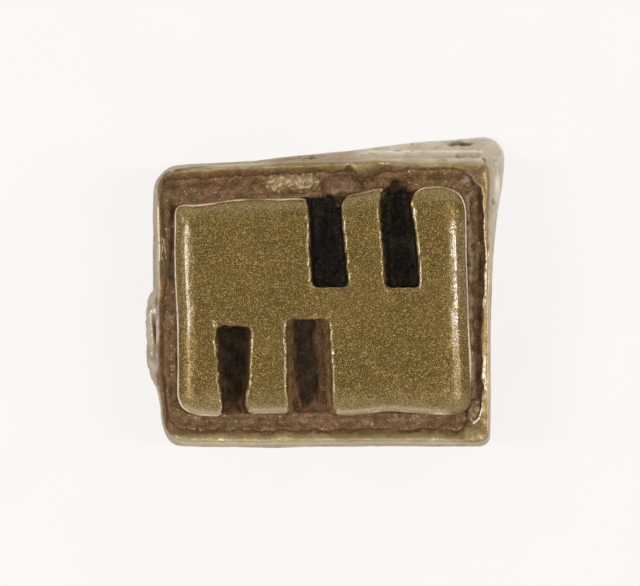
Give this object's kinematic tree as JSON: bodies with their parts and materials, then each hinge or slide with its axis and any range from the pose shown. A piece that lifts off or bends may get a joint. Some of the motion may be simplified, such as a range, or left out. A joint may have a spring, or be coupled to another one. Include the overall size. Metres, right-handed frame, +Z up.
{
  "type": "akan gold weight",
  "caption": "Small cast brass block for weighing gold dust: a slotted raised tablet stands in a channel inside a low rim, above flared flanks with one splayed corner.",
  "frame": {"origin": "on the underside, below the middle of the crown, which is the outline of the block at its rim", "axes": "+Z up out of the face with the tablet, +X to the right along the longer side, +Y to the back"},
  "size_m": [0.0201, 0.0177, 0.0079],
  "materials": {
    "cast_brass": "satin",
    "tablet_brass": "satin",
    "bead_brass": "satin",
    "earth_crust": "matte",
    "charcoal_residue": "matte"
  },
  "bodies": {
    "root": {"base_block": "cast_brass", "rim_front": "cast_brass", "rim_left": "cast_brass", "rim_right": "cast_brass", "rim_back_left": "cast_brass", "rim_back_right": "cast_brass", "tablet": "tablet_brass", "slot_residue_back_left": "charcoal_residue", "slot_residue_back_right": "charcoal_residue", "slot_residue_front_left": "charcoal_residue", "slot_residue_front_right": "charcoal_residue", "channel_crust": "earth_crust", "back_bead_left": "bead_brass", "back_bead_right": "bead_brass", "corner_bead": "bead_brass", "sprue_stub": "cast_brass"}
  },
  "joints": []
}
